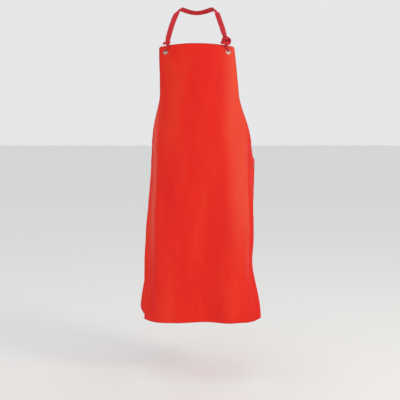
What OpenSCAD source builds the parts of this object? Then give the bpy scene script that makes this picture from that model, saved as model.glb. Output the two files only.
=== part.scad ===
// Butcher's bib apron with a knotted neck tape, worn and hanging, in millimetres.
// The origin is where the neck tape lies on the wearer's nape.
// The wearer faces -Y, +X is to the right of someone who faces the wearer, and +Z is up.

/* [Cloth] */
// Length of the cut from the bib's top edge to the hem
apron_length = 1150; // [1130:5:1180]
// Width of the cut along the bib's top edge
bib_width = 328; // [310:2:340]
// Width of the cut where the armhole curves begin
bib_base_width = 352; // [344:2:370]
// Width of the cut from the waist corners to the hem
skirt_width = 900; // [880:5:910]
// Distance from the top edge down to where the armhole curves begin
bib_side = 205; // [190:5:220]
// Distance from the top edge down to the waist corners
waist_drop = 490; // [480:5:500]
// Radius of the bib's top corners
top_corner_r = 8; // [4:1:12]
// Radius of the hem's corners
hem_corner_r = 25; // [15:1:40]
// Thickness of the coated cloth
cloth_t = 1; // [0.8:0.1:1.2]

/* [Eyelets] */
// Bore through an eyelet's barrel
eyelet_bore = 11; // [9:0.5:12]
// Outer diameter of an eyelet's flange and washer
eyelet_od = 22; // [20:0.5:24]
// Distance of a bib eyelet's centre from the bib's side edge
bib_eyelet_side = 30; // [28:1:34]
// Distance of a bib eyelet's centre from the bib's top edge
bib_eyelet_top = 27; // [25:1:30]
// Distance of a waist eyelet's centre from the skirt's side edge
waist_eyelet_side = 28; // [26:1:34]
// Distance of a waist eyelet's centre below the waist corner
waist_eyelet_drop = 28; // [26:1:34]

/* [Patches] */
// Side of the square patch behind an eyelet
patch_side = 46; // [40:2:48]
// Thickness of a patch
patch_t = 1; // [0.6:0.1:1.2]

/* [Neck tape] */
// Width of the tape
tape_w = 20; // [18:1:24]
// Thickness of the tape, with its creases
tape_t = 2.4; // [2:0.2:3]
// Width of the tape where it is gathered to pass through an eyelet
loop_w = 7.5; // [6:0.5:8]

/* [Hidden] */

cloth_red = [0.9, 0.19, 0.15];
patch_red = [0.8, 0.16, 0.13];
tape_red = [0.76, 0.15, 0.2];
eyelet_silver = [0.8, 0.8, 0.8];
washer_silver = [0.7, 0.7, 0.72];

// The top edge's centre, on the middle of the cloth's thickness
top_y = -178;
top_z = -141;

// How the cloth's centre line leans back, in degrees, at distances down the cut
lean_table = [[0, 16], [150, 13], [300, 7], [420, 2], [520, 0], [1200, 0]];
// How the centre line strays sideways over the wearer's body, at distances down the cut
stray_table = [[0, 0], [100, 4], [200, 6], [350, 8], [500, 12], [1200, 10]];

// The wrap: at six levels down the cut, the angle by which the cloth has turned towards
// the back, at distances along the cloth from the centre line
level_t = [0, 205, 490, 800, 920, 1150];
along_s = [0, 50, 100, 165, 200, 250, 300, 350, 450];
wrap_left = [
    [0, 10, 21, 34, 38, 42, 45, 48, 50],
    [0, 9, 22, 48, 62, 75, 80, 82, 84],
    [0, 5, 13, 31, 73, 83, 84, 84, 84],
    [0, 0, 2, 8, 65, 72, 82, 92, 92],
    [0, 0, 2, 8, 62, 68, 84, 92, 90],
    [0, -12, -2, 10, 48, 75, 88, 86, 60]
];
wrap_right = [
    [0, 10, 20, 32, 36, 42, 45, 48, 50],
    [0, 7, 15, 33, 44, 58, 70, 76, 80],
    [0, 6, 14, 34, 54, 76, 80, 80, 80],
    [0, 0, 6, 26, 46, 76, 86, 86, 86],
    [0, 0, 6, 27, 48, 78, 90, 90, 90],
    [0, -12, -8, 11, 26, 56, 84, 94, 98]
];
left_tables = [for (row = wrap_left) [for (i = [0:len(along_s) - 1]) [along_s[i], row[i]]]];
right_tables = [for (row = wrap_right) [for (i = [0:len(along_s) - 1]) [along_s[i], row[i]]]];

// The armhole curve is a hollow super-ellipse of this power
armhole_power = 1.55;
// Longest step, in mm, when the wrap is summed along the cloth
wrap_step = 10;
// Facet columns across half of the panel, and facets along a patch's side
half_columns = 15;
patch_cells = 4;

// Hole that an eyelet's barrel fills, and the barrel's and flanges' thicknesses
barrel_wall = 0.5;
barrel_r = eyelet_bore / 2 + barrel_wall;
flange_t = 0.7;
flange_r = eyelet_od / 2;
barrel_l = cloth_t + patch_t + 2 * flange_t;
round_fn = 48;

// Depth of the line under the two knots, about which the apron swings on its neck tape
swing_y = -160;

// The neck tape's route from the left knot round the nape to the right knot
tape_route = [
    [-118, -160, -138], [-118, -157, -127], [-115, -148, -110], [-110, -136, -90],
    [-104, -123, -68], [-97, -109, -46], [-89, -95, -24], [-80, -79, -4],
    [-73, -60, 7], [-66, -41, 11], [-55, -22, 10], [-40, -9, 6],
    [-21, -2, 2], [0, 0, 0], [21, -2, 2], [40, -9, 6],
    [56, -22, 10], [68, -41, 11], [77, -60, 7], [84, -79, -4],
    [90, -95, -24], [97, -109, -46], [104, -123, -68], [110, -136, -89],
    [115, -150, -107], [117, -156, -118], [118, -158, -128]
];
// The loops through the bib eyelets, as distances from the eyelet's centre across the
// cloth, distances down from the bib's top edge, and distances out from the cloth
left_loop_route = [
    [14, -0.5, 2.6], [11, 7, 2.5], [6, 15, 2.9], [1.5, 21, 3.1], [0, 25, 1.8],
    [0, 26, -1.6], [1, 23.5, -4.8], [4, 17, -4.6], [8, 10, -3.8], [12, 3, -3]
];
right_loop_route = [
    [-8, -0.5, 2.6], [-6.5, 7, 2.5], [-4, 15, 2.9], [-1, 21, 3.1], [0, 25, 1.8],
    [0, 26, -1.6], [-1, 23.5, -4.8], [-3, 17, -4.6], [-5, 10, -3.8], [-7, 3, -3]
];

function ease(x) = x * x * (3 - 2 * x);
function clamp01(x) = min(1, max(0, x));
function unit(v) = v / norm(v);
function ones(n) = [for (i = [1:n]) 1];

// Half of the cut's width at distance t down the centre line
function top_rounding(t) =
    t < top_corner_r ? top_corner_r - sqrt(pow(top_corner_r, 2) - pow(top_corner_r - t, 2)) : 0;
function hem_rounding(t) =
    let (d = max(0, t - (apron_length - hem_corner_r)))
    hem_corner_r - sqrt(max(0, pow(hem_corner_r, 2) - d * d));
function bib_half(t) =
    bib_width / 2 + (bib_base_width - bib_width) / 2 * t / bib_side - top_rounding(t);
function armhole_half(t) =
    let (q = clamp01((t - bib_side) / (waist_drop - bib_side)))
    skirt_width / 2 - (skirt_width - bib_base_width) / 2
        * pow(max(0, 1 - pow(q, armhole_power)), 1 / armhole_power);
function half_width(t) =
    t < bib_side ? bib_half(t)
    : t < waist_drop ? armhole_half(t)
    : skirt_width / 2 - hem_rounding(t);

// The angle by which the cloth has turned, at distance s along the cloth on one side
function level_below(t, i = 0) =
    i >= len(level_t) - 2 || t < level_t[i + 1] ? i : level_below(t, i + 1);
function turned(side, s, t) =
    let (
        i = level_below(t),
        w = ease(clamp01((t - level_t[i]) / (level_t[i + 1] - level_t[i]))),
        tables = side < 0 ? left_tables : right_tables
    )
    (1 - w) * lookup(s, tables[i]) + w * lookup(s, tables[i + 1]);

// How far sideways and back the cloth has gone, at distance s from the centre line
function wrap(side, s, t) =
    let (n = ceil(s / wrap_step) + 1, ds = s / n)
    ones(n) * [for (k = [0:n - 1]) let (a = turned(side, (k + 0.5) * ds, t)) ds * [cos(a), sin(a)]];

// The centre line's point at distance t down the cut
function centre(t) =
    let (
        n = ceil(t / wrap_step) + 1,
        dt = t / n,
        run = ones(n) * [for (k = [0:n - 1]) let (a = lookup((k + 0.5) * dt, lean_table))
            dt * [sin(a), cos(a)]]
    )
    [lookup(t, stray_table), top_y - run[0], top_z - run[1]];

// The middle of the cloth's thickness, at distance s across and t down the cut
function cloth(s, t) =
    let (side = s < 0 ? -1 : 1, w = wrap(side, abs(s), t), c = centre(t), a = lookup(t, lean_table))
    [c.x + side * w[0], c.y + w[1] * cos(a), c.z - w[1] * sin(a)];

// The cloth's outward direction there
function outward(s, t) =
    let (d = 6, t1 = max(0, t - d), t2 = min(apron_length, t + d))
    unit(cross(cloth(s + d, t) - cloth(s - d, t), cloth(s, t1) - cloth(s, t2)));

// A closed shell on a grid of points that are pairs, front and back
function grid_faces(rows, cols) =
    let (n = cols, back = rows * cols)
    concat(
        [for (j = [0:rows - 2], i = [0:cols - 2]) each [
            [j * n + i, j * n + i + 1, (j + 1) * n + i + 1],
            [j * n + i, (j + 1) * n + i + 1, (j + 1) * n + i],
            [back + j * n + i, back + (j + 1) * n + i + 1, back + j * n + i + 1],
            [back + j * n + i, back + (j + 1) * n + i, back + (j + 1) * n + i + 1]
        ]],
        [for (j = [0:rows - 2], i = [0, cols - 1]) let (p = j * n + i, q = p + n)
            each (i == 0 ? [[p, q, back + q], [p, back + q, back + p]]
                : [[p, back + q, q], [p, back + p, back + q]])],
        [for (i = [0:cols - 2], j = [0, rows - 1]) let (p = j * n + i, q = p + 1)
            each (j == 0 ? [[p, back + q, q], [p, back + p, back + q]]
                : [[p, q, back + q], [p, back + q, back + p]])]
    );
module cloth_shell(places, front, back) {
    rows = len(places);
    cols = len(places[0]);
    mids = [for (row = places) for (p = row) cloth(p[0], p[1])];
    normals = [for (row = places) for (p = row) outward(p[0], p[1])];
    polyhedron(
        concat([for (i = [0:len(mids) - 1]) mids[i] + front * normals[i]],
            [for (i = [0:len(mids) - 1]) mids[i] + back * normals[i]]),
        grid_faces(rows, cols)
    );
}

// Rows of the panel's facets, closer together where the cut's edge curves
panel_rows = concat(
    [0, 2.5, top_corner_r, 27, 60, 100, 150],
    [for (i = [0:11]) bib_side + (waist_drop - bib_side) * sin(i * 90 / 12)],
    [for (i = [0:10]) waist_drop + (apron_length - hem_corner_r - waist_drop) * i / 11],
    [for (i = [0:4]) apron_length - hem_corner_r + hem_corner_r * sin(i * 22.5)]
);
panel_places = [for (t = panel_rows)
    [for (i = [-half_columns:half_columns]) [half_width(t) * i / half_columns, t]]];

// Where the eyelets sit on the cut: [across, down]
bib_eyelet_s = bib_width / 2 - bib_eyelet_side;
waist_eyelet_s = skirt_width / 2 - waist_eyelet_side;
bib_left = [-bib_eyelet_s, bib_eyelet_top];
bib_right = [bib_eyelet_s, bib_eyelet_top];
waist_left = [-waist_eyelet_s, waist_drop + waist_eyelet_drop];
waist_right = [waist_eyelet_s, waist_drop + waist_eyelet_drop];

// Places its children with +Z outward from the cloth, at a place on the cut
module on_cloth(place) {
    n = outward(place[0], place[1]);
    translate(cloth(place[0], place[1]))
        rotate([0, acos(n.z), atan2(n.y, n.x)])
            children();
}

module apron_panel() {
    color(cloth_red) difference() {
        cloth_shell(panel_places, cloth_t / 2, -cloth_t / 2);
        for (place = [bib_left, bib_right, waist_left, waist_right])
            on_cloth(place)
                cylinder(h = 8, r = barrel_r, center = true, $fn = round_fn);
    }
}

// A square of the same cloth welded behind an eyelet, following the panel's curve
module patch(place) {
    places = [for (j = [0:patch_cells]) [for (i = [0:patch_cells])
        place + patch_side * [i / patch_cells - 0.5, j / patch_cells - 0.5]]];
    color(patch_red) difference() {
        cloth_shell(places, -cloth_t / 2, -cloth_t / 2 - patch_t);
        on_cloth(place)
            cylinder(h = 8, r = barrel_r, center = true, $fn = round_fn);
    }
}

// An eyelet's front half: a domed flange and the barrel through the cloth
module eyelet(place) {
    color(eyelet_silver) on_cloth(place)
        rotate_extrude($fn = round_fn)
            polygon([
                [eyelet_bore / 2, cloth_t / 2 + flange_t - barrel_l],
                [barrel_r, cloth_t / 2 + flange_t - barrel_l],
                [barrel_r, cloth_t / 2],
                [flange_r, cloth_t / 2],
                [flange_r, cloth_t / 2 + flange_t * 0.25],
                [flange_r - 0.3, cloth_t / 2 + flange_t * 0.6],
                [flange_r - 1, cloth_t / 2 + flange_t * 0.88],
                [flange_r - 2, cloth_t / 2 + flange_t],
                [eyelet_bore / 2, cloth_t / 2 + flange_t]
            ]);
}

// An eyelet's back half: the washer that the barrel is clenched over
module washer(place) {
    back = -cloth_t / 2 - patch_t;
    color(washer_silver) on_cloth(place)
        rotate_extrude($fn = round_fn)
            polygon([
                [barrel_r, back - flange_t],
                [flange_r - 1, back - flange_t],
                [flange_r, back],
                [barrel_r, back]
            ]);
}

// A flat tape swept along a route, with its width along the given directions
tape_sides = 8;
function tape_ring(p, across, out, w, t) =
    [for (k = [0:tape_sides - 1]) let (a = 22.5 + k * 360 / tape_sides, b = 1 / cos(22.5))
        p + across * (w / 2 * b * cos(a)) + out * (t / 2 * b * sin(a))];
function along(route, i) =
    unit(route[min(i + 1, len(route) - 1)] - route[max(i - 1, 0)]);
module swept_tape(route, faces_out, w, t) {
    n = len(route);
    rings = [for (i = [0:n - 1])
        let (
            run = along(route, i),
            across = unit(cross(faces_out[i], run)),
            out = cross(run, across)
        )
        tape_ring(route[i], across, out, w, t)];
    polyhedron(
        [for (ring = rings) each ring],
        concat(
            [[for (k = [0:tape_sides - 1]) tape_sides - 1 - k]],
            [for (i = [0:n - 2], k = [0:tape_sides - 1])
                let (a = i * tape_sides + k, b = i * tape_sides + (k + 1) % tape_sides)
                each [[a, b, b + tape_sides], [a, b + tape_sides, a + tape_sides]]],
            [[for (k = [0:tape_sides - 1]) (n - 1) * tape_sides + k]]
        )
    );
}

// The neck tape lies flat on the chest, and turns to lie on the neck's round behind it
chest_out = [0, -1, 0.3];
neck_middle = [0, -70, -60];
function tape_out(p) =
    let (w = ease(clamp01((p.y + 100) / 45)))
    unit((1 - w) * unit(chest_out) + w * unit(p - neck_middle));

module neck_tape() {
    color(tape_red)
        swept_tape(tape_route, [for (p = tape_route) tape_out(p)], tape_w, tape_t);
}

// The tape's loop through an eyelet, down the front of the cloth and up its back
module tape_loop(place, route) {
    points = [for (r = route)
        cloth(place[0] + r[0], r[1]) + r[2] * outward(place[0] + r[0], r[1])];
    across = unit(cloth(place[0] + 6, place[1]) - cloth(place[0] - 6, place[1]));
    outs = [for (i = [0:len(points) - 1]) unit(cross(along(points, i), across))];
    color(tape_red) swept_tape(points, outs, loop_w, tape_t);
}

// Knots: rounded lumps of tightened tape, each the hull of a few balls
module knot(balls) {
    color(tape_red) hull()
        for (b = balls) translate([b[0], b[1], b[2]]) sphere(r = b[3], $fn = 20);
}
left_balls = [
    [-127, swing_y, -138.5, 7], [-111, swing_y, -138.5, 6.5], [-133, swing_y, -140, 4]
];
right_balls = [
    [106, swing_y + 2, -131, 10], [129, swing_y + 2, -128, 11],
    [119, swing_y + 2, -134, 10.5], [115, swing_y + 4, -112, 8]
];

apron_panel();
patch(bib_left);  // bib_left_patch
patch(bib_right);  // bib_right_patch
patch(waist_left);  // waist_left_patch
patch(waist_right);  // waist_right_patch
eyelet(bib_left);  // bib_left_eyelet
eyelet(bib_right);  // bib_right_eyelet
eyelet(waist_left);  // waist_left_eyelet
eyelet(waist_right);  // waist_right_eyelet
washer(bib_left);  // bib_left_washer
washer(bib_right);  // bib_right_washer
washer(waist_left);  // waist_left_washer
washer(waist_right);  // waist_right_washer
neck_tape();
knot(left_balls);  // left_knot
knot(right_balls);  // right_knot
tape_loop(bib_left, left_loop_route);  // left_tape_loop
tape_loop(bib_right, right_loop_route);  // right_tape_loop
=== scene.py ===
"""A butcher's bib apron of red coated cloth, hanging as worn from a knotted neck tape.

Metres, in the part's own frame: the origin is where the tape lies on the wearer's nape,
the wearer faces -Y, +X is to the right of someone who faces the wearer, and +Z is up.
"""

import math

import bmesh
import bpy
import numpy as np
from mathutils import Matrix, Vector, noise


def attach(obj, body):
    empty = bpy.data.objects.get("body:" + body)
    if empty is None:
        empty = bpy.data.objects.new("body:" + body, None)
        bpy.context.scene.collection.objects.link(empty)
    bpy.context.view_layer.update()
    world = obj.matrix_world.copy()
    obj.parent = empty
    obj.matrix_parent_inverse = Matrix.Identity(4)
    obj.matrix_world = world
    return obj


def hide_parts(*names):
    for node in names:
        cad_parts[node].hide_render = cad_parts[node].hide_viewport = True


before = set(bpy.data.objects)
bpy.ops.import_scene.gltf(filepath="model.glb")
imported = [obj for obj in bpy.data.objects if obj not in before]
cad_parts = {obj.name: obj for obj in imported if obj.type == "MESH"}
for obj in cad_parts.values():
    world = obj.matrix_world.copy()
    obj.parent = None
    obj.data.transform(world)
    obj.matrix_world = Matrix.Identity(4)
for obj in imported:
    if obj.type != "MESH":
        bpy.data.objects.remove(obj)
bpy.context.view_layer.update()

MM = 0.001

# ---------------------------------------------------------------- camera
# The camera is 3.8 m from the front of the apron, at waist height, 0.436 m below the
# nape, and tilted down a little.
EYE = Vector((0.014, -3.95, -0.436))
AIM = Vector((0.014, -0.15, -0.787))
LENS_MM = 82.2
FLOOR_Z = -1.536

camera_data = bpy.data.cameras.new("camera")
camera_data.lens = LENS_MM
camera = bpy.data.objects.new("camera", camera_data)
bpy.context.collection.objects.link(camera)
camera.location = EYE
camera.rotation_mode = "QUATERNION"
camera.rotation_quaternion = (AIM - EYE).to_track_quat("-Z", "Y")
bpy.context.scene.camera = camera


# ---------------------------------------------------------------- the cut and its drape, mm
APRON_LENGTH = 1150.0
BIB_WIDTH = 328.0
BIB_BASE_WIDTH = 352.0
SKIRT_WIDTH = 900.0
BIB_SIDE = 205.0
WAIST_DROP = 490.0
TOP_CORNER_R = 8.0
HEM_CORNER_R = 25.0
CLOTH_T = 1.0
ARMHOLE_POWER = 1.55
TOP_Y = -178.0
TOP_Z = -141.0

# How the centre line leans back (degrees) and strays sideways (mm) at distances down the cut
LEAN = ((0, 16), (150, 13), (300, 7), (420, 2), (520, 0), (1200, 0))
STRAY = ((0, 0), (100, 4), (200, 6), (350, 8), (500, 12), (1200, 10))

# The angle (degrees) by which the cloth has turned towards the back: a row for each of the
# LEVELS, which are distances down the cut, and a column for each distance ALONG the cloth
LEVELS = (0, 205, 490, 800, 920, 1150)
ALONG = (0, 50, 100, 165, 200, 250, 300, 350, 450)
WRAP_LEFT = (
    (0, 10, 21, 34, 38, 42, 45, 48, 50),
    (0, 9, 22, 48, 62, 75, 80, 82, 84),
    (0, 5, 13, 31, 73, 83, 84, 84, 84),
    (0, 0, 2, 8, 65, 72, 82, 92, 92),
    (0, 0, 2, 8, 62, 68, 84, 92, 90),
    (0, -12, -2, 10, 48, 75, 88, 86, 60),
)
WRAP_RIGHT = (
    (0, 10, 20, 32, 36, 42, 45, 48, 50),
    (0, 7, 15, 33, 44, 58, 70, 76, 80),
    (0, 6, 14, 34, 54, 76, 80, 80, 80),
    (0, 0, 6, 26, 46, 76, 86, 86, 86),
    (0, 0, 6, 27, 48, 78, 90, 90, 90),
    (0, -12, -8, 11, 26, 56, 84, 94, 98),
)
# How far along the cloth the wrap is worked out, and at how many places
WRAP_REACH = 480
WRAP_PLACES = 193
# The length of the steps in which the centre line is added up
CENTRE_STEP = 5

# The apron's eyelets, as places on the cut: distance across, and distance down
BIB_EYELET = (BIB_WIDTH / 2 - 30, 27.0)
WAIST_EYELET = (SKIRT_WIDTH / 2 - 28, WAIST_DROP + 28)
EYELETS = {
    "bib_left": (-BIB_EYELET[0], BIB_EYELET[1]),
    "bib_right": BIB_EYELET,
    "waist_left": (-WAIST_EYELET[0], WAIST_EYELET[1]),
    "waist_right": WAIST_EYELET,
}


def table_at(table, x):
    return float(np.interp(x, [p[0] for p in table], [p[1] for p in table]))


def ease(x):
    x = np.clip(x, 0.0, 1.0)
    return x * x * (3 - 2 * x)


def half_width(t):
    """Half of the cut's width at distance t down the centre line."""
    if t < BIB_SIDE:
        rounding = 0.0
        if t < TOP_CORNER_R:
            rounding = TOP_CORNER_R - math.sqrt(TOP_CORNER_R**2 - (TOP_CORNER_R - t) ** 2)
        return (BIB_WIDTH + (BIB_BASE_WIDTH - BIB_WIDTH) * t / BIB_SIDE) / 2 - rounding
    if t < WAIST_DROP:
        q = (t - BIB_SIDE) / (WAIST_DROP - BIB_SIDE)
        hollow = max(0.0, 1 - q**ARMHOLE_POWER) ** (1 / ARMHOLE_POWER)
        return SKIRT_WIDTH / 2 - (SKIRT_WIDTH - BIB_BASE_WIDTH) / 2 * hollow
    d = max(0.0, t - (APRON_LENGTH - HEM_CORNER_R))
    return SKIRT_WIDTH / 2 - HEM_CORNER_R + math.sqrt(max(0.0, HEM_CORNER_R**2 - d * d))


def wrap_profile(side, t):
    """Distances along the cloth, and how far sideways and back the cloth has gone there."""
    i = min(max(int(np.searchsorted(LEVELS, t, side="right")) - 1, 0), len(LEVELS) - 2)
    w = float(ease((t - LEVELS[i]) / (LEVELS[i + 1] - LEVELS[i])))
    wraps = WRAP_LEFT if side < 0 else WRAP_RIGHT
    s = np.linspace(0, WRAP_REACH, WRAP_PLACES)
    mid = (s[1:] + s[:-1]) / 2
    turned = (1 - w) * np.interp(mid, ALONG, wraps[i]) + w * np.interp(mid, ALONG, wraps[i + 1])
    step = s[1] - s[0]
    sideways = np.concatenate([[0], np.cumsum(np.cos(np.radians(turned)) * step)])
    back = np.concatenate([[0], np.cumsum(np.sin(np.radians(turned)) * step)])
    return s, sideways, back


def centre(t):
    """The centre line's point, x, y and z, at distance t down the cut."""
    n = max(2, int(abs(t) / CENTRE_STEP) + 2)
    edges = np.linspace(0, t, n)
    lean = np.radians([table_at(LEAN, m) for m in (edges[1:] + edges[:-1]) / 2])
    step = edges[1] - edges[0]
    return table_at(STRAY, t), TOP_Y - np.sin(lean).sum() * step, TOP_Z - np.cos(lean).sum() * step


def cloth_row(t, across):
    """Points of the middle of the cloth, in mm, at distances across and distance t down."""
    cx, cy, cz = centre(t)
    lean = math.radians(table_at(LEAN, t))
    across = np.asarray(across, float)
    points = np.zeros((len(across), 3))
    for side in (-1, 1):
        s, sideways, back = wrap_profile(side, t)
        mine = across < 0 if side < 0 else across >= 0
        x = np.interp(np.abs(across[mine]), s, sideways)
        d = np.interp(np.abs(across[mine]), s, back)
        points[mine] = np.stack(
            [cx + side * x, cy + d * math.cos(lean), cz - d * math.sin(lean)], axis=1)
    return points


def cloth_point(s, t):
    return Vector(cloth_row(t, [s])[0])


def outward(s, t):
    """The cloth's outward direction at a place on the cut."""
    d = 6.0
    sideways = cloth_point(s + d, t) - cloth_point(s - d, t)
    up = cloth_point(s, max(0.0, t - d)) - cloth_point(s, min(APRON_LENGTH, t + d))
    return sideways.cross(up).normalized()


def off_cloth(s, t, out):
    """A point in metres at a distance out, in mm, from a place on the cut."""
    return (cloth_point(s, t) + out * outward(s, t)) * MM


# ---------------------------------------------------------------- mesh helpers
def link(name, verts, faces, uvs=None, material=None, smooth=True):
    """A mesh object; uvs are one pair for each vertex."""
    mesh = bpy.data.meshes.new(name)
    mesh.from_pydata([tuple(v) for v in verts], [], faces)
    if uvs is not None:
        layer = mesh.uv_layers.new(name="cut")
        for loop in mesh.loops:
            layer.data[loop.index].uv = uvs[loop.vertex_index]
    for polygon in mesh.polygons:
        polygon.use_smooth = smooth
    if material is not None:
        mesh.materials.append(material)
    obj = bpy.data.objects.new(name, mesh)
    bpy.context.collection.objects.link(obj)
    return obj


def apply_modifiers(obj):
    """Turns the object's modifiers into plain mesh."""
    graph = bpy.context.evaluated_depsgraph_get()
    mesh = bpy.data.meshes.new_from_object(obj.evaluated_get(graph))
    obj.modifiers.clear()
    obj.data = mesh


# ---------------------------------------------------------------- materials
def new_material(name, colour, roughness, **sockets):
    material = bpy.data.materials.new(name)
    material.use_nodes = True
    shader = material.node_tree.nodes["Principled BSDF"]
    shader.inputs["Base Color"].default_value = (*colour, 1)
    shader.inputs["Roughness"].default_value = roughness
    for socket, value in sockets.items():
        shader.inputs[socket.replace("_", " ")].default_value = value
    return material


class Nodes:
    """Short calls for building a material's node tree."""

    def __init__(self, material):
        self.tree = material.node_tree
        self.shader = self.tree.nodes["Principled BSDF"]

    def add(self, kind, **values):
        node = self.tree.nodes.new(kind)
        for name, value in values.items():
            setattr(node, name, value)
        return node

    def join(self, source, target):
        self.tree.links.new(source, target)

    def coordinates(self, kind, scale=(1, 1, 1)):
        source = self.add("ShaderNodeTexCoord")
        mapping = self.add("ShaderNodeMapping")
        mapping.inputs["Scale"].default_value = scale
        self.join(source.outputs[kind], mapping.inputs["Vector"])
        return mapping.outputs["Vector"]

    def noise(self, vector, scale, detail=2.0, roughness=0.5, distortion=0.0):
        node = self.add("ShaderNodeTexNoise")
        node.inputs["Scale"].default_value = scale
        node.inputs["Detail"].default_value = detail
        node.inputs["Roughness"].default_value = roughness
        node.inputs["Distortion"].default_value = distortion
        self.join(vector, node.inputs["Vector"])
        return node.outputs["Fac"]

    def wave(self, vector, scale, direction):
        node = self.add("ShaderNodeTexWave", bands_direction=direction)
        node.inputs["Scale"].default_value = scale
        self.join(vector, node.inputs["Vector"])
        return node.outputs["Fac"]

    def ramp(self, fac, stops):
        node = self.add("ShaderNodeValToRGB")
        elements = node.color_ramp.elements
        while len(elements) < len(stops):
            elements.new(0.5)
        for element, (place, colour) in zip(elements, stops):
            element.position = place
            element.color = (*colour, 1)
        self.join(fac, node.inputs["Fac"])
        return node.outputs["Color"]

    def span(self, fac, low, high):
        node = self.add("ShaderNodeMapRange")
        node.inputs["To Min"].default_value = low
        node.inputs["To Max"].default_value = high
        self.join(fac, node.inputs["Value"])
        return node.outputs["Result"]

    def blend(self, fac, a, b, mode="MIX"):
        node = self.add("ShaderNodeMix", data_type="RGBA", blend_type=mode)
        if isinstance(fac, (int, float)):
            node.inputs["Factor"].default_value = fac
        else:
            self.join(fac, node.inputs["Factor"])
        for socket, value in ((node.inputs[6], a), (node.inputs[7], b)):
            if isinstance(value, tuple):
                socket.default_value = (*value, 1)
            else:
                self.join(value, socket)
        return node.outputs[2]

    def rise(self, value, start, end):
        """Goes smoothly from 0 at start to 1 at end."""
        node = self.add("ShaderNodeMapRange", interpolation_type="SMOOTHSTEP")
        node.inputs["From Min"].default_value = start
        node.inputs["From Max"].default_value = end
        self.join(value, node.inputs["Value"])
        return node.outputs["Result"]

    def calculate(self, operation, a, b):
        node = self.add("ShaderNodeMath", operation=operation, use_clamp=True)
        self.join(a, node.inputs[0])
        self.join(b, node.inputs[1])
        return node.outputs["Value"]

    def sum(self, a, b, weight=1.0):
        node = self.add("ShaderNodeMath", operation="MULTIPLY_ADD")
        self.join(b, node.inputs[0])
        node.inputs[1].default_value = weight
        self.join(a, node.inputs[2])
        return node.outputs["Value"]

    def bump(self, height, distance, strength=1.0):
        node = self.add("ShaderNodeBump")
        node.inputs["Distance"].default_value = distance
        node.inputs["Strength"].default_value = strength
        self.join(height, node.inputs["Height"])
        self.join(node.outputs["Normal"], self.shader.inputs["Normal"])


RED = (0.75, 0.0210, 0.0120)
RED_DEEP = (0.71, 0.0140, 0.0120)
RED_WARM = (0.77, 0.0380, 0.0150)
# A paler orange, painted on as a highlight on bands at the sides of the bib and waist
RED_PAINTED_HIGHLIGHT = (0.77, 0.0700, 0.0340)


def painted_highlight_and_side(n, cut, streaks):
    """Where a paler orange is painted on as a highlight, and how far the cloth has gone round to
    the side.

    The painted highlight lies on bands where the cloth bends round the wearer, most on the bib and
    at the waist."""
    place = n.add("ShaderNodeSeparateXYZ")
    n.join(cut, place.inputs["Vector"])
    across, down = place.outputs["X"], place.outputs["Y"]
    right = n.calculate("MULTIPLY", n.rise(across, 0.085, 0.165), n.rise(across, 0.250, 0.205))
    left = n.calculate("MULTIPLY", n.rise(across, -0.172, -0.196), n.rise(across, -0.240, -0.205))
    either = n.calculate("MAXIMUM", right, left)
    kept = n.calculate("MULTIPLY", n.rise(down, 1.06, 0.56), n.span(streaks, 0.35, 1.35))
    side = n.calculate("MAXIMUM", n.rise(across, 0.19, 0.28), n.rise(across, -0.19, -0.28))
    return n.calculate("MULTIPLY", either, kept), side


def coated_cloth():
    """The front: a smooth red coating over a fine cloth, faintly mottled and scuffed."""
    material = new_material("coated_cloth", RED, 0.50, IOR=1.20)
    n = Nodes(material)
    body = n.coordinates("Object")
    cut = n.coordinates("UV")
    streaks = n.noise(n.coordinates("UV", (9, 2.2, 1)), 1.0, 4.0, 0.55)
    mottled = n.ramp(streaks, ((0.3, RED_DEEP), (0.5, RED), (0.7, RED_WARM)))
    painted_highlight_mask, side = painted_highlight_and_side(n, cut, streaks)
    # The painted highlight: a paler orange blended in on bands at the sides of the bib and waist
    colour = n.blend(painted_highlight_mask, mottled, RED_PAINTED_HIGHLIGHT)
    fine = n.noise(body, 90.0, 3.0, 0.6)
    flecks = n.ramp(fine, ((0.45, (1, 1, 1)), (0.8, (0.93, 0.9, 0.9))))
    n.join(n.blend(0.6, colour, flecks, "MULTIPLY"), n.shader.inputs["Base Color"])
    scuffed = n.span(n.noise(body, 14.0, 5.0, 0.65, 0.4), 0.42, 0.58)
    n.join(n.sum(scuffed, side, 0.30), n.shader.inputs["Roughness"])
    warp = n.wave(cut, 450.0, "X")
    weft = n.wave(cut, 450.0, "Y")
    grain = n.noise(cut, 700.0, 2.0, 0.6)
    height = n.sum(n.sum(warp, weft), grain, 1.5)
    n.bump(height, 0.00006, 0.55)
    return material


def cloth_back():
    """The back: the same red, with the woven base showing through a thinner coat."""
    material = new_material("cloth_back", RED_DEEP, 0.75, IOR=1.3,
                            Sheen_Weight=0.08, Sheen_Roughness=0.6)
    n = Nodes(material)
    body = n.coordinates("Object")
    cut = n.coordinates("UV")
    blotches = n.noise(body, 7.0, 4.0, 0.6)
    colour = n.ramp(blotches, ((0.3, (0.56, 0.009, 0.010)), (0.7, (0.66, 0.015, 0.012))))
    n.join(colour, n.shader.inputs["Base Color"])
    warp = n.wave(cut, 320.0, "X")
    weft = n.wave(cut, 320.0, "Y")
    n.bump(n.sum(warp, weft), 0.00012, 0.8)
    return material


def cut_edge():
    """The raw edge of the cut, where the base cloth's threads show between the coats."""
    material = new_material("cut_edge", (0.36, 0.014, 0.012), 0.8)
    n = Nodes(material)
    threads = n.noise(n.coordinates("Object"), 900.0, 2.0, 0.6)
    colour = n.ramp(threads, ((0.35, (0.27, 0.010, 0.010)), (0.7, (0.48, 0.025, 0.02))))
    n.join(colour, n.shader.inputs["Base Color"])
    return material


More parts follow.
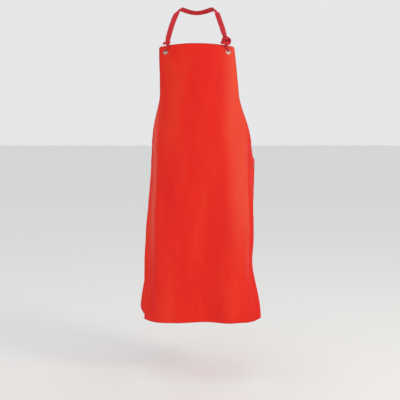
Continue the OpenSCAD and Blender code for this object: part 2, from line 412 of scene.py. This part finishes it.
def darkened_edge_strip():
    """The narrow, darker strip along the cut's edges."""
    material = new_material("darkened_edge_strip", (0.42, 0.018, 0.010), 0.6, IOR=1.3)
    n = Nodes(material)
    strip_tone = n.noise(n.coordinates("Object"), 120.0, 3.0, 0.6)
    colour = n.ramp(strip_tone, ((0.35, (0.34, 0.016, 0.009)), (0.7, (0.52, 0.020, 0.010))))
    n.join(colour, n.shader.inputs["Base Color"])
    n.bump(strip_tone, 0.0002, 0.6)
    return material


def patch_cloth():
    """A welded patch: the coated side faces out, stamped with the weld's fine grid."""
    material = new_material("patch_cloth", RED_DEEP, 0.55, Specular_IOR_Level=0.35)
    n = Nodes(material)
    cut = n.coordinates("UV")
    tone = n.ramp(n.noise(n.coordinates("Object"), 40.0, 4.0, 0.6),
                  ((0.3, (0.60, 0.018, 0.018)), (0.7, (0.72, 0.03, 0.022))))
    n.join(tone, n.shader.inputs["Base Color"])
    stamped = n.sum(n.wave(cut, 90.0, "X"), n.wave(cut, 90.0, "Y"))
    n.bump(stamped, 0.00025, 0.9)
    return material


def cotton_tape():
    """Crimson woven cotton: ribs across the tape, threads along it, soft fibres."""
    material = new_material("cotton_tape", (0.52, 0.018, 0.032), 0.85, Specular_IOR_Level=0.2,
                            Sheen_Weight=0.30, Sheen_Roughness=0.55,
                            Sheen_Tint=(1.0, 0.45, 0.45, 1))
    n = Nodes(material)
    tape = n.coordinates("UV")
    body = n.coordinates("Object")
    ribs = n.wave(tape, 260.0, "Y")
    threads = n.wave(tape, 420.0, "X")
    tone = n.ramp(n.noise(body, 60.0, 4.0, 0.65),
                  ((0.3, (0.48, 0.012, 0.022)), (0.55, (0.62, 0.018, 0.029)),
                   (0.8, (0.74, 0.032, 0.040))))
    shaded = n.ramp(n.sum(ribs, threads, 0.5), ((0.1, (0.80, 0.76, 0.78)), (0.9, (1, 1, 1))))
    n.join(n.blend(0.8, tone, shaded, "MULTIPLY"), n.shader.inputs["Base Color"])
    fuzz = n.noise(body, 1500.0, 2.0, 0.7)
    n.bump(n.sum(n.sum(ribs, threads, 0.6), fuzz, 0.8), 0.00022, 0.9)
    return material


def pressed_metal(name, colour, roughness):
    """Bright pressed metal, with fine scratches and a little dullness in patches."""
    material = new_material(name, colour, roughness, Metallic=1.0)
    n = Nodes(material)
    body = n.coordinates("Object")
    dull = n.noise(body, 350.0, 4.0, 0.6)
    n.join(n.span(dull, roughness * 0.8, roughness * 1.3), n.shader.inputs["Roughness"])
    tone = n.ramp(n.noise(body, 160.0, 3.0, 0.6),
                  ((0.3, tuple(0.93 * c for c in colour)), (0.7, colour)))
    n.join(tone, n.shader.inputs["Base Color"])
    scratches = n.noise(n.coordinates("Object", (1, 6, 1)), 1400.0, 3.0, 0.7)
    n.bump(scratches, 0.00004, 0.5)
    return material


CLOTH = coated_cloth()
BACK = cloth_back()
EDGE = cut_edge()
DARK_EDGE = darkened_edge_strip()
PATCH = patch_cloth()
TAPE = cotton_tape()
EYELET_METAL = pressed_metal("eyelet_metal", (0.37, 0.33, 0.28), 0.40)
WASHER_METAL = pressed_metal("washer_metal", (0.40, 0.36, 0.31), 0.40)


# ---------------------------------------------------------------- tape
def catmull(points, per_span):
    """A smooth line through the points, with per_span steps between each two."""
    p = [Vector(q) for q in points]
    p = [p[0] * 2 - p[1], *p, p[-1] * 2 - p[-2]]
    line = []
    for i in range(1, len(p) - 2):
        for k in range(per_span):
            u = k / per_span
            a, b, c, d = p[i - 1], p[i], p[i + 1], p[i + 2]
            line.append(0.5 * (2 * b + (c - a) * u + (2 * a - 5 * b + 4 * c - d) * u**2
                               + (3 * b - a - 3 * c + d) * u**3))
    line.append(p[-2])
    return line


def distances(line):
    run = [0.0]
    for a, b in zip(line, line[1:]):
        run.append(run[-1] + (b - a).length)
    return run


def heading(line, i):
    return (line[min(i + 1, len(line) - 1)] - line[max(i - 1, 0)]).normalized()


def carried(line, first_out):
    """Directions that start at first_out and turn only as the line turns."""
    outs = []
    out = Vector(first_out)
    for i in range(len(line)):
        ahead = heading(line, i)
        out = (out - ahead * out.dot(ahead)).normalized()
        outs.append(out)
    return outs


ACROSS_N = 14


def tape_part(line, outs, width, thickness, crease):
    """A flat tape along a line, as vertices, uvs and faces.

    outs are the directions that the tape's face looks. width and thickness take the
    distance along it, and crease(d, x) is a height off its plane at x from -1 to 1 across."""
    run = distances(line)
    verts, uvs, faces = [], [], []
    ring = 2 * (ACROSS_N + 1)
    for i, point in enumerate(line):
        ahead = heading(line, i)
        across = outs[i].cross(ahead).normalized()
        out = ahead.cross(across)
        d = run[i]
        w = width(d) / 2
        for side in (1, -1):
            for k in range(ACROSS_N + 1):
                x = (2 * k / ACROSS_N - 1) * side
                lip = 0.25 + 0.75 * math.sqrt(max(0.0, 1 - abs(x) ** 5))
                h = crease(d, x) + side * thickness(d) / 2 * lip
                verts.append(point + across * (w * x) + out * h)
                uvs.append((w * x, d))
    for i in range(len(line) - 1):
        for k in range(ring):
            a, b = i * ring + k, i * ring + (k + 1) % ring
            faces.append((a, b, b + ring, a + ring))
    faces.append(tuple(range(ring - 1, -1, -1)))
    last = (len(line) - 1) * ring
    faces.append(tuple(last + k for k in range(ring)))
    return verts, uvs, faces


def link_parts(name, parts, material):
    """One object of several parts, with its faces' normals outward."""
    verts, uvs, faces = [], [], []
    for part_verts, part_uvs, part_faces in parts:
        base = len(verts)
        verts += part_verts
        uvs += part_uvs
        faces += [tuple(base + k for k in face) for face in part_faces]
    obj = link(name, verts, faces, uvs, material)
    mesh = bmesh.new()
    mesh.from_mesh(obj.data)
    bmesh.ops.recalc_face_normals(mesh, faces=mesh.faces)
    mesh.to_mesh(obj.data)
    mesh.free()
    return obj


TAPE_WIDTH = 0.0215
TAPE_ROUTE_MM = (
    (-118, -160, -138), (-118, -157, -127), (-115, -148, -110), (-110, -136, -90),
    (-104, -123, -68), (-97, -109, -46), (-89, -95, -24), (-80, -79, -4),
    (-73, -60, 7), (-66, -41, 11), (-55, -22, 10), (-40, -9, 6),
    (-21, -2, 2), (0, 0, 0), (21, -2, 2), (40, -9, 6),
    (56, -22, 10), (68, -41, 11), (77, -60, 7), (84, -79, -4),
    (90, -95, -24), (97, -109, -46), (104, -123, -68), (110, -136, -89),
    (115, -150, -107), (117, -156, -118), (118, -158, -128),
)
CHEST_OUT = Vector((0, -1, 0.3)).normalized()
NECK_MIDDLE = Vector((0, -0.070, -0.060))
# Where the tape begins to turn on to the neck, and the distance back that the turn takes
TURN_Y = -0.100
TURN_DEPTH = 0.045
# How wide the tape is at each knot, as a share of its full width
LEFT_GATHER = 0.88
RIGHT_GATHER = 0.72


def tape_out(p):
    """The tape's face looks forward on the chest, and away from the neck behind it."""
    w = float(ease((p.y - TURN_Y) / TURN_DEPTH))
    return ((1 - w) * CHEST_OUT + w * (p - NECK_MIDDLE).normalized()).normalized()


tape_line = catmull([[c * MM for c in p] for p in TAPE_ROUTE_MM], 12)
tape_length = distances(tape_line)[-1]


def tape_width(d):
    """Gathered towards the knots, most of all just above the right one."""
    left = float(ease(d / 0.030))
    right = float(ease((tape_length - d - 0.010) / 0.040))
    return (TAPE_WIDTH * (LEFT_GATHER + (1 - LEFT_GATHER) * left)
            * (RIGHT_GATHER + (1 - RIGHT_GATHER) * right))


def tape_thickness(d):
    gathered = 1 - tape_width(d) / TAPE_WIDTH
    return 0.0014 + 0.007 * gathered


def tape_crease(d, x):
    """Soft lengthwise creases that wander across the tape, and a slight cupping."""
    wander = noise.noise(Vector((d * 22, 3.1, 0))) * 0.6
    ridge = math.exp(-(((x - wander) / 0.22) ** 2))
    second = math.exp(-(((x + 0.55 - 0.6 * wander) / 0.2) ** 2))
    ripple = noise.noise(Vector((d * 90, x * 1.5, 7)))
    return 0.0014 * ridge - 0.0009 * second - 0.0013 * x * x + 0.0006 * ripple


neck_tape = link_parts(
    "neck_tape_cloth",
    [tape_part(tape_line, [tape_out(p) for p in tape_line],
               tape_width, tape_thickness, tape_crease)],
    TAPE)
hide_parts("neck_tape")
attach(neck_tape, "neck_halter")


# ---------------------------------------------------------------- knots and eyelet loops
def strand(middle_mm, route_mm, first_out, widths_mm, thickness_mm, seed):
    """A gathered stretch of the tape in a knot; the route is about the knot's middle."""
    line = catmull([[(a + b) * MM for a, b in zip(middle_mm, p)] for p in route_mm], 9)
    length = distances(line)[-1]
    places = np.linspace(0, length, len(widths_mm))

    def width(d):
        return float(np.interp(d, places, widths_mm)) * MM

    def crease(d, x):
        groove = math.exp(-(((x - 0.3 * math.sin(d * 160 + seed)) / 0.25) ** 2))
        ripple = noise.noise(Vector((d * 170, x * 2, seed)))
        return -0.0010 * groove + 0.0007 * ripple - 0.0009 * x * x

    return tape_part(line, carried(line, first_out), width,
                     lambda d: thickness_mm * MM, crease)


LEFT_KNOT = (-119, -160, -138)
left_strands = [
    # the collar round the standing tape
    strand(LEFT_KNOT, ((2, 6, 2), (-6, 5, 1), (-9, -1, 0), (-6, -6, 0), (1, -7, 1),
                       (7, -5, 3), (9, 1, 3), (6, 6, 2), (0, 6, 1)),
           (0, 1, 0.2), (10, 10, 10, 10), 3.4, 1),
    # the turn that crosses the front and leaves as the tail
    strand(LEFT_KNOT, ((5, 5, 5), (9, -1, 5), (7, -7, 4), (1, -10, 1), (-5, -9, -2),
                       (-10, -6, -3), (-14, -3, -3), (-18, -1, -1)),
           (0.6, 0.5, 0.6), (8, 10, 11, 10, 10, 13), 3.0, 2),
    # the turn under it, where both legs to the eyelet leave
    strand(LEFT_KNOT, ((-8, 4, -3), (-5, -3, -5), (1, -6, -5), (7, -4, -4), (9, 2, -2)),
           (-0.3, 0, -1), (9, 10, 10, 8), 3.6, 3),
    # the standing tape, gathered through the middle
    strand(LEFT_KNOT, ((1, 1, 7), (1, 0, 2), (0, -1, -3), (0, -1, -7)),
           (0, -1, 0), (14, 12, 11, 9), 5.4, 4),
]
RIGHT_KNOT = (118, -158, -129)
right_strands = [
    # the standing tape, gathered, down through the knot
    strand(RIGHT_KNOT, ((-1, 2, 8), (0, -2, 1), (2, -2, -8), (2, -1, -15)),
           (0, -1, 0.2), (10, 11, 11, 9), 5.0, 5),
    # the collar round it
    strand(RIGHT_KNOT, ((0, 7, 8), (-8, 5, 6), (-11, -2, 3), (-7, -8, 2), (0, -9, 4),
                        (8, -7, 7), (10, 0, 9), (6, 6, 9), (-1, 7, 8)),
           (0, 1, 0.2), (10, 11, 11, 10), 3.6, 6),
    # the bight that stands out to the right, round a small gap
    strand(RIGHT_KNOT, ((-6, -8, 5), (2, -11, 8), (10, -9, 9), (17, -5, 5), (19, -3, -2),
                        (17, -3, -8), (10, -6, -12), (3, -6, -12)),
           (0, -0.8, 1), (10, 10.5, 10, 9, 9, 10), 4.2, 7),
    # the turn across the bottom
    strand(RIGHT_KNOT, ((-12, 5, -4), (-15, -1, -6), (-11, -8, -8), (-3, -11, -9),
                        (6, -10, -10), (14, -6, -11), (17, 1, -10)),
           (-1, 0, 0.3), (10, 11, 11, 11, 10), 3.8, 8),
    # the turns behind
    strand(RIGHT_KNOT, ((15, 2, -8), (7, 7, -4), (-4, 8, -2), (-12, 4, -4)),
           (0, 1, 0), (10, 11, 11, 10), 3.8, 9),
    strand(RIGHT_KNOT, ((-10, 0, 3), (-3, 3, -4), (5, 2, -8), (12, -2, -6)),
           (0, 1, 0.3), (9, 10, 10, 9), 4.0, 10),
    # the turn that comes down beside the standing tape and closes the bight's gap
    strand(RIGHT_KNOT, ((-3, 10, 25), (0, 5, 19), (6, -1, 11), (12, -3, 3), (12, -2, -5),
                        (7, -2, -10)),
           (0.5, -1, 0.3), (5, 9, 13, 14, 12, 9), 4.2, 11),
]
for knot_name, strands, middle_mm, fullness in (
        ("left_knot", left_strands, LEFT_KNOT, 1.0),
        ("right_knot", right_strands, RIGHT_KNOT, 1.15)):
    knot = link_parts(knot_name + "_cloth", strands, TAPE)
    middle = Vector(middle_mm) * MM
    for vertex in knot.data.vertices:
        vertex.co = middle + (vertex.co - middle) * fullness
    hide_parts(knot_name)
    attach(knot, "neck_halter")

# The loops through the bib eyelets: distances from the eyelet's centre across the cloth,
# distances down from the bib's top edge, and distances out from the cloth
LEFT_LOOP = (
    (13, 7, 3.0), (7, 15, 3.4), (1.5, 21, 3.6), (0, 25, 2.0),
    (0, 26, -1.6), (1, 23.5, -5.0), (4, 17, -4.9), (8, 10, -4.0), (12, 3, -3.4),
)
RIGHT_LOOP = (
    (-10, 7, 3.0), (-5, 15, 3.4), (-1, 21, 3.6), (0, 25, 2.0),
    (0, 26, -1.6), (-1, 23.5, -5.0), (-3, 17, -4.9), (-6, 10, -4.0), (-9, 3, -3.4),
)
# Where the loops meet the knots, on the line that the apron swings about
SWING_LINE = (-0.160, -0.146)
# A loop's width in the eyelet, how much fuller it gets, and the distance that this takes
LOOP_WIDTH = 0.0082
LOOP_FULLER = 0.0050
LOOP_SPREAD = 0.024
LOOP_THICKNESS = 0.0030


def eyelet_loop(name, eyelet, route, top_x):
    place = EYELETS[eyelet]
    y, z = SWING_LINE
    on_cloth = [off_cloth(place[0] + across, down, out) for across, down, out in route]
    over_edge_front = off_cloth(place[0] + route[0][0] * 1.1, -2, 6.5)
    over_edge_back = off_cloth(place[0] + route[-1][0], -5, 0.5)
    knot_end = Vector((top_x, y, z + 0.003))
    points = [knot_end, over_edge_front, *on_cloth, over_edge_back,
              knot_end + Vector((0, 0.003, 0))]
    line = catmull(points, 8)
    sideways = (cloth_point(place[0] + 6, place[1])
                - cloth_point(place[0] - 6, place[1])).normalized()
    outs = [heading(line, i).cross(sideways).normalized() for i in range(len(line))]
    run = distances(line)
    hole = run[min(range(len(line)), key=lambda i: (line[i] - off_cloth(*place, 0)).length)]

    def width(d):
        """Bunched where it passes the eyelet, fuller above."""
        return LOOP_WIDTH + LOOP_FULLER * float(ease(abs(d - hole) / LOOP_SPREAD))

    def crease(d, x):
        groove = math.exp(-(((x - 0.25 * math.sin(d * 140)) / 0.25) ** 2))
        return -0.0006 * groove + 0.0003 * noise.noise(Vector((d * 150, x * 2, 5)))

    part = tape_part(line, outs, width, lambda d: LOOP_THICKNESS, crease)
    loop = link_parts(name + "_cloth", [part], TAPE)
    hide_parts(name)
    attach(loop, "apron")
    return loop


left_loop = eyelet_loop("left_tape_loop", "bib_left", LEFT_LOOP, -0.119)
right_loop = eyelet_loop("right_tape_loop", "bib_right", RIGHT_LOOP, 0.120)


# ---------------------------------------------------------------- the panel
# Soft folds that hang down the skirt: place across, half width, height, and the distances
# down at which they begin and are full; all mm, outward positive. The broad ones lie over
# the wearer's thighs, the narrow ones between them and down the sides.
FOLDS = (
    (-78, 48, 6.5, 330, 820), (30, 40, -6.0, 300, 820), (126, 44, 8.0, 230, 700),
    (-385, 32, 9.0, 600, 1100), (-326, 24, -9.5, 540, 1000), (-268, 22, 7.5, 500, 860),
    (-205, 18, -4.5, 520, 980), (-150, 20, 2.6, 560, 1040), (-105, 12, -1.8, 640, 1000),
    (-40, 14, 1.8, 470, 760), (62, 13, -1.7, 520, 900), (172, 14, -3.2, 320, 700),
    (205, 15, 4.0, 340, 720), (258, 17, -9.0, 420, 640), (258, 24, 5.0, 800, 1000),
    (312, 25, 9.0, 520, 860), (362, 19, -7.5, 560, 920), (408, 24, 7.5, 620, 1080),
)
# Straight drag creases: their two ends on the cut, half width and height
DRAGS = (
    ((-134, 40), (-70, 190), 15, 1.3), ((134, 40), (82, 200), 15, 1.4),
    ((-128, 34), (-20, 62), 12, 0.9), ((126, 34), (30, 66), 12, 0.9),
    ((-330, 452), (-170, 560), 17, 2.4), ((-300, 400), (-150, 440), 13, 1.7),
    ((335, 455), (190, 575), 17, 2.6), ((300, 402), (150, 455), 14, 1.9),
    ((-150, 300), (-60, 345), 14, 1.0), ((165, 330), (70, 365), 15, 1.1),
    ((-60, 610), (60, 575), 16, 1.1), ((-190, 690), (-80, 640), 18, 1.2),
    ((90, 700), (200, 655), 17, 1.4), ((-150, 820), (-60, 900), 13, 2.3),
    ((-130, 900), (-40, 985), 13, 2.5), ((-60, 860), (40, 950), 14, 1.9),
    ((-150, 1010), (-90, 1080), 12, 1.9), ((60, 980), (140, 1060), 14, 2.0),
    ((-62, 455), (-50, 565), 9, 1.7), ((-26, 470), (-20, 585), 8, 1.5),
    ((6, 462), (0, 560), 9, 1.7), ((120, 380), (136, 490), 12, 2.4),
    ((152, 420), (160, 570), 11, 2.1), ((-110, 560), (-96, 680), 12, 1.9),
    ((390, 560), (300, 700), 20, 2.6), ((-400, 560), (-300, 720), 20, 2.6),
)


def relief(across, t):
    """How far the cloth stands off its smooth drape, in mm, at places on the cut."""
    height = np.zeros_like(across)
    for place, half, high, begin, full in FOLDS:
        drift = 9 * np.sin(t / 170 + place / 40)
        grown = ease((t - begin) / (full - begin))
        height += high * grown * np.exp(-(((across - place - drift) / half) ** 2))
    for (s0, t0), (s1, t1), half, high in DRAGS:
        length = math.hypot(s1 - s0, t1 - t0)
        ux, uy = (s1 - s0) / length, (t1 - t0) / length
        along = ((across - s0) * ux + (t - t0) * uy) / length
        off = -(across - s0) * uy + (t - t0) * ux + 10 * np.sin(along * 3) - 5
        fade = ease(along * 3 + 0.4) * ease((1.15 - along) * 2.2)
        height += high * fade * np.exp(-((off / half) ** 2))
    rough = np.array([
        1.9 * noise.noise(Vector((s / 130, d / 210, 1)))
        + 0.9 * noise.noise(Vector((s / 55, d / 80, 5)))
        + 0.28 * noise.noise(Vector((s / 20, d / 26, 9)))
        for s, d in zip(across.ravel(), t.ravel())])
    height += rough.reshape(across.shape)
    for s, d in EYELETS.values():
        height *= ease((np.hypot(across - s, t - d) - 26) / 40)
    return height


def cell_lines(low, high, step, fine_spans, fine_step):
    """Grid lines from low to high, closer together inside the fine spans."""
    lines = [low]
    while lines[-1] < high:
        here = lines[-1]
        fine = any(a <= here < b for a, b in fine_spans)
        lines.append(min(high, here + (fine_step if fine else step)))
    return lines


def grid_surface(rows, width_at, columns, height_at, offset_mm=0.0):
    """Points (in metres) and uvs of a surface that follows the drape.

    rows are distances down, columns run from -1 to 1 across width_at(row), which gives the
    middle and the half width, and height_at(across, t) stands it off the drape."""
    base, cut = [], []
    for t in rows:
        middle, half = width_at(t)
        across = middle + half * np.array(columns)
        base.append(cloth_row(t, across))
        cut.append(np.stack([across, np.full(len(across), float(t))], axis=1))
    base, cut = np.array(base), np.array(cut)
    sideways = np.gradient(base, axis=1)
    down = np.gradient(base, axis=0)
    normal = np.cross(sideways, -down)
    normal /= np.linalg.norm(normal, axis=2, keepdims=True)
    height = height_at(cut[..., 0], cut[..., 1]) + offset_mm
    return (base + normal * height[..., None]) * MM, cut


def holed_sheet(name, points, cut, holes, hole_r, thickness_mm, materials, border=None):
    """A solid sheet from a grid of points, with a round hole left at each place in holes.

    materials are the front's, the back's and the rim's. border is a material and a test
    of a place on the cut, for a strip that has its own."""
    rows, cols = points.shape[:2]
    faces, borders = [], []
    for j in range(rows - 1):
        for i in range(cols - 1):
            centre_cut = (cut[j, i] + cut[j + 1, i + 1]) / 2
            if any(math.hypot(*(centre_cut - np.array(h))) < hole_r for h in holes):
                continue
            a = j * cols + i
            faces.append((a, a + cols, a + cols + 1, a + 1))
            borders.append(bool(border) and border[1](*centre_cut))
    used = sorted({k for face in faces for k in face})
    renumber = {k: n for n, k in enumerate(used)}
    flat_points, flat_cut = points.reshape(-1, 3), cut.reshape(-1, 2) * MM
    obj = link(name, [flat_points[k] for k in used],
               [tuple(renumber[k] for k in face) for face in faces],
               [tuple(flat_cut[k]) for k in used])
    for material in (*materials, *([border[0]] * 2 if border else [])):
        obj.data.materials.append(material)
    for polygon, in_border in zip(obj.data.polygons, borders):
        polygon.material_index = len(materials) if in_border else 0
    solid = obj.modifiers.new("thickness", "SOLIDIFY")
    solid.thickness = thickness_mm * MM
    solid.offset = 0
    solid.use_even_offset = False
    solid.material_offset = 1
    solid.material_offset_rim = 2
    apply_modifiers(obj)
    return obj


HOLE_R = 7.6
# The width of the darker strip along the cut's edges
DARK_EDGE_WIDTH = 2.4
# The panel's grid: rows in mm, columns as shares of the half width, closer at the eyelets
# and along the end of the armhole's curve
ROW_STEP = 5.5
FINE_ROW_STEP = 2.0
FINE_ROWS = ((0, 42), (440, 536))
COLUMN_STEP = 1 / 70
FINE_COLUMN_STEP = 0.0045
FINE_COLUMNS = ((-0.975, -0.90), (0.90, 0.975))
EDGE_COLUMN = 0.996


def in_dark_edge(across, t):
    """Near the top, the hem or the side, or just below the armhole's edge."""
    return (min(t, APRON_LENGTH - t) < DARK_EDGE_WIDTH
            or abs(across) > half_width(t) - DARK_EDGE_WIDTH
            or abs(across) > half_width(t - DARK_EDGE_WIDTH))


panel_rows = [
    *[TOP_CORNER_R * (1 - math.cos(math.radians(a))) for a in range(0, 90, 9)],
    *cell_lines(TOP_CORNER_R, APRON_LENGTH - HEM_CORNER_R, ROW_STEP, FINE_ROWS, FINE_ROW_STEP),
    *[APRON_LENGTH - HEM_CORNER_R * (1 - math.sin(math.radians(a))) for a in range(6, 91, 6)],
]
panel_columns = [
    -1, *cell_lines(-EDGE_COLUMN, EDGE_COLUMN, COLUMN_STEP, FINE_COLUMNS, FINE_COLUMN_STEP), 1,
]
points, cut = grid_surface(panel_rows, lambda t: (0, half_width(t)), panel_columns, relief)
panel = holed_sheet("apron_panel_cloth", points, cut, list(EYELETS.values()), HOLE_R,
                    CLOTH_T, (CLOTH, BACK, EDGE), (DARK_EDGE, in_dark_edge))
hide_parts("apron_panel")
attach(panel, "apron")

# ---------------------------------------------------------------- patches
PATCH_SIDE = 46.0
PATCH_CORNER_R = 6.0
PATCH_T = 0.9
patch_rows = np.linspace(-PATCH_SIDE / 2, PATCH_SIDE / 2, 29)
for eyelet, (place_s, place_t) in EYELETS.items():

    def patch_width(t):
        corner = max(0.0, abs(t - place_t) - (PATCH_SIDE / 2 - PATCH_CORNER_R))
        rounding = PATCH_CORNER_R - math.sqrt(max(0.0, PATCH_CORNER_R**2 - corner**2))
        return place_s, PATCH_SIDE / 2 - rounding

    def patch_height(across, t):
        """Pressed thin round its welded border."""
        to_edge = PATCH_SIDE / 2 - np.maximum(np.abs(across - place_s), np.abs(t - place_t))
        return 0.22 * (1 - ease((to_edge - 2.5) / 2.0))

    points, cut = grid_surface(place_t + patch_rows, patch_width, np.linspace(-1, 1, 29),
                               patch_height, -(CLOTH_T + PATCH_T) / 2 - 0.05)
    patch = holed_sheet(eyelet + "_patch_cloth", points, cut, [(place_s, place_t)], HOLE_R,
                        PATCH_T, (PATCH, PATCH, EDGE))
    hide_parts(eyelet + "_patch")
    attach(patch, "apron")

# ---------------------------------------------------------------- metal
for eyelet in EYELETS:
    for node, metal in ((eyelet + "_eyelet", EYELET_METAL), (eyelet + "_washer", WASHER_METAL)):
        obj = bpy.data.objects[node]
        for slot in obj.material_slots:
            slot.material = metal

# ---------------------------------------------------------------- floor and light
floor_material = new_material("floor", (0.83, 0.83, 0.82), 0.9)
FLOOR_HALF = 30.0
floor = link("floor", [(x, y, FLOOR_Z) for x, y in
                       ((-FLOOR_HALF, -FLOOR_HALF), (FLOOR_HALF, -FLOOR_HALF),
                        (FLOOR_HALF, FLOOR_HALF), (-FLOOR_HALF, FLOOR_HALF))],
             [(0, 1, 2, 3)], material=floor_material, smooth=False)

world = bpy.data.worlds.new("studio")
world.use_nodes = True
world.node_tree.nodes["Background"].inputs["Color"].default_value = (0.94, 0.95, 0.96, 1)
world.node_tree.nodes["Background"].inputs["Strength"].default_value = 0.84
bpy.context.scene.world = world
bpy.context.scene.view_settings.view_transform = "Standard"

LOOK_AT = Vector((0, -0.15, -0.70))


def area_light(name, place, size, watts, colour):
    data = bpy.data.lights.new(name, "AREA")
    data.size = size
    data.energy = watts
    data.color = colour
    light = bpy.data.objects.new(name, data)
    bpy.context.collection.objects.link(light)
    light.location = place
    light.rotation_mode = "QUATERNION"
    light.rotation_quaternion = (LOOK_AT - Vector(place)).to_track_quat("-Z", "Y")


area_light("key", (3.1, -2.6, 0.9), 1.1, 54, (1.0, 0.93, 0.78))
area_light("fill", (-2.2, -3.0, -1.3), 1.2, 20, (1.0, 0.94, 0.86))
area_light("top", (0.2, 0.6, 2.2), 2.0, 10, (1.0, 1.0, 1.0))
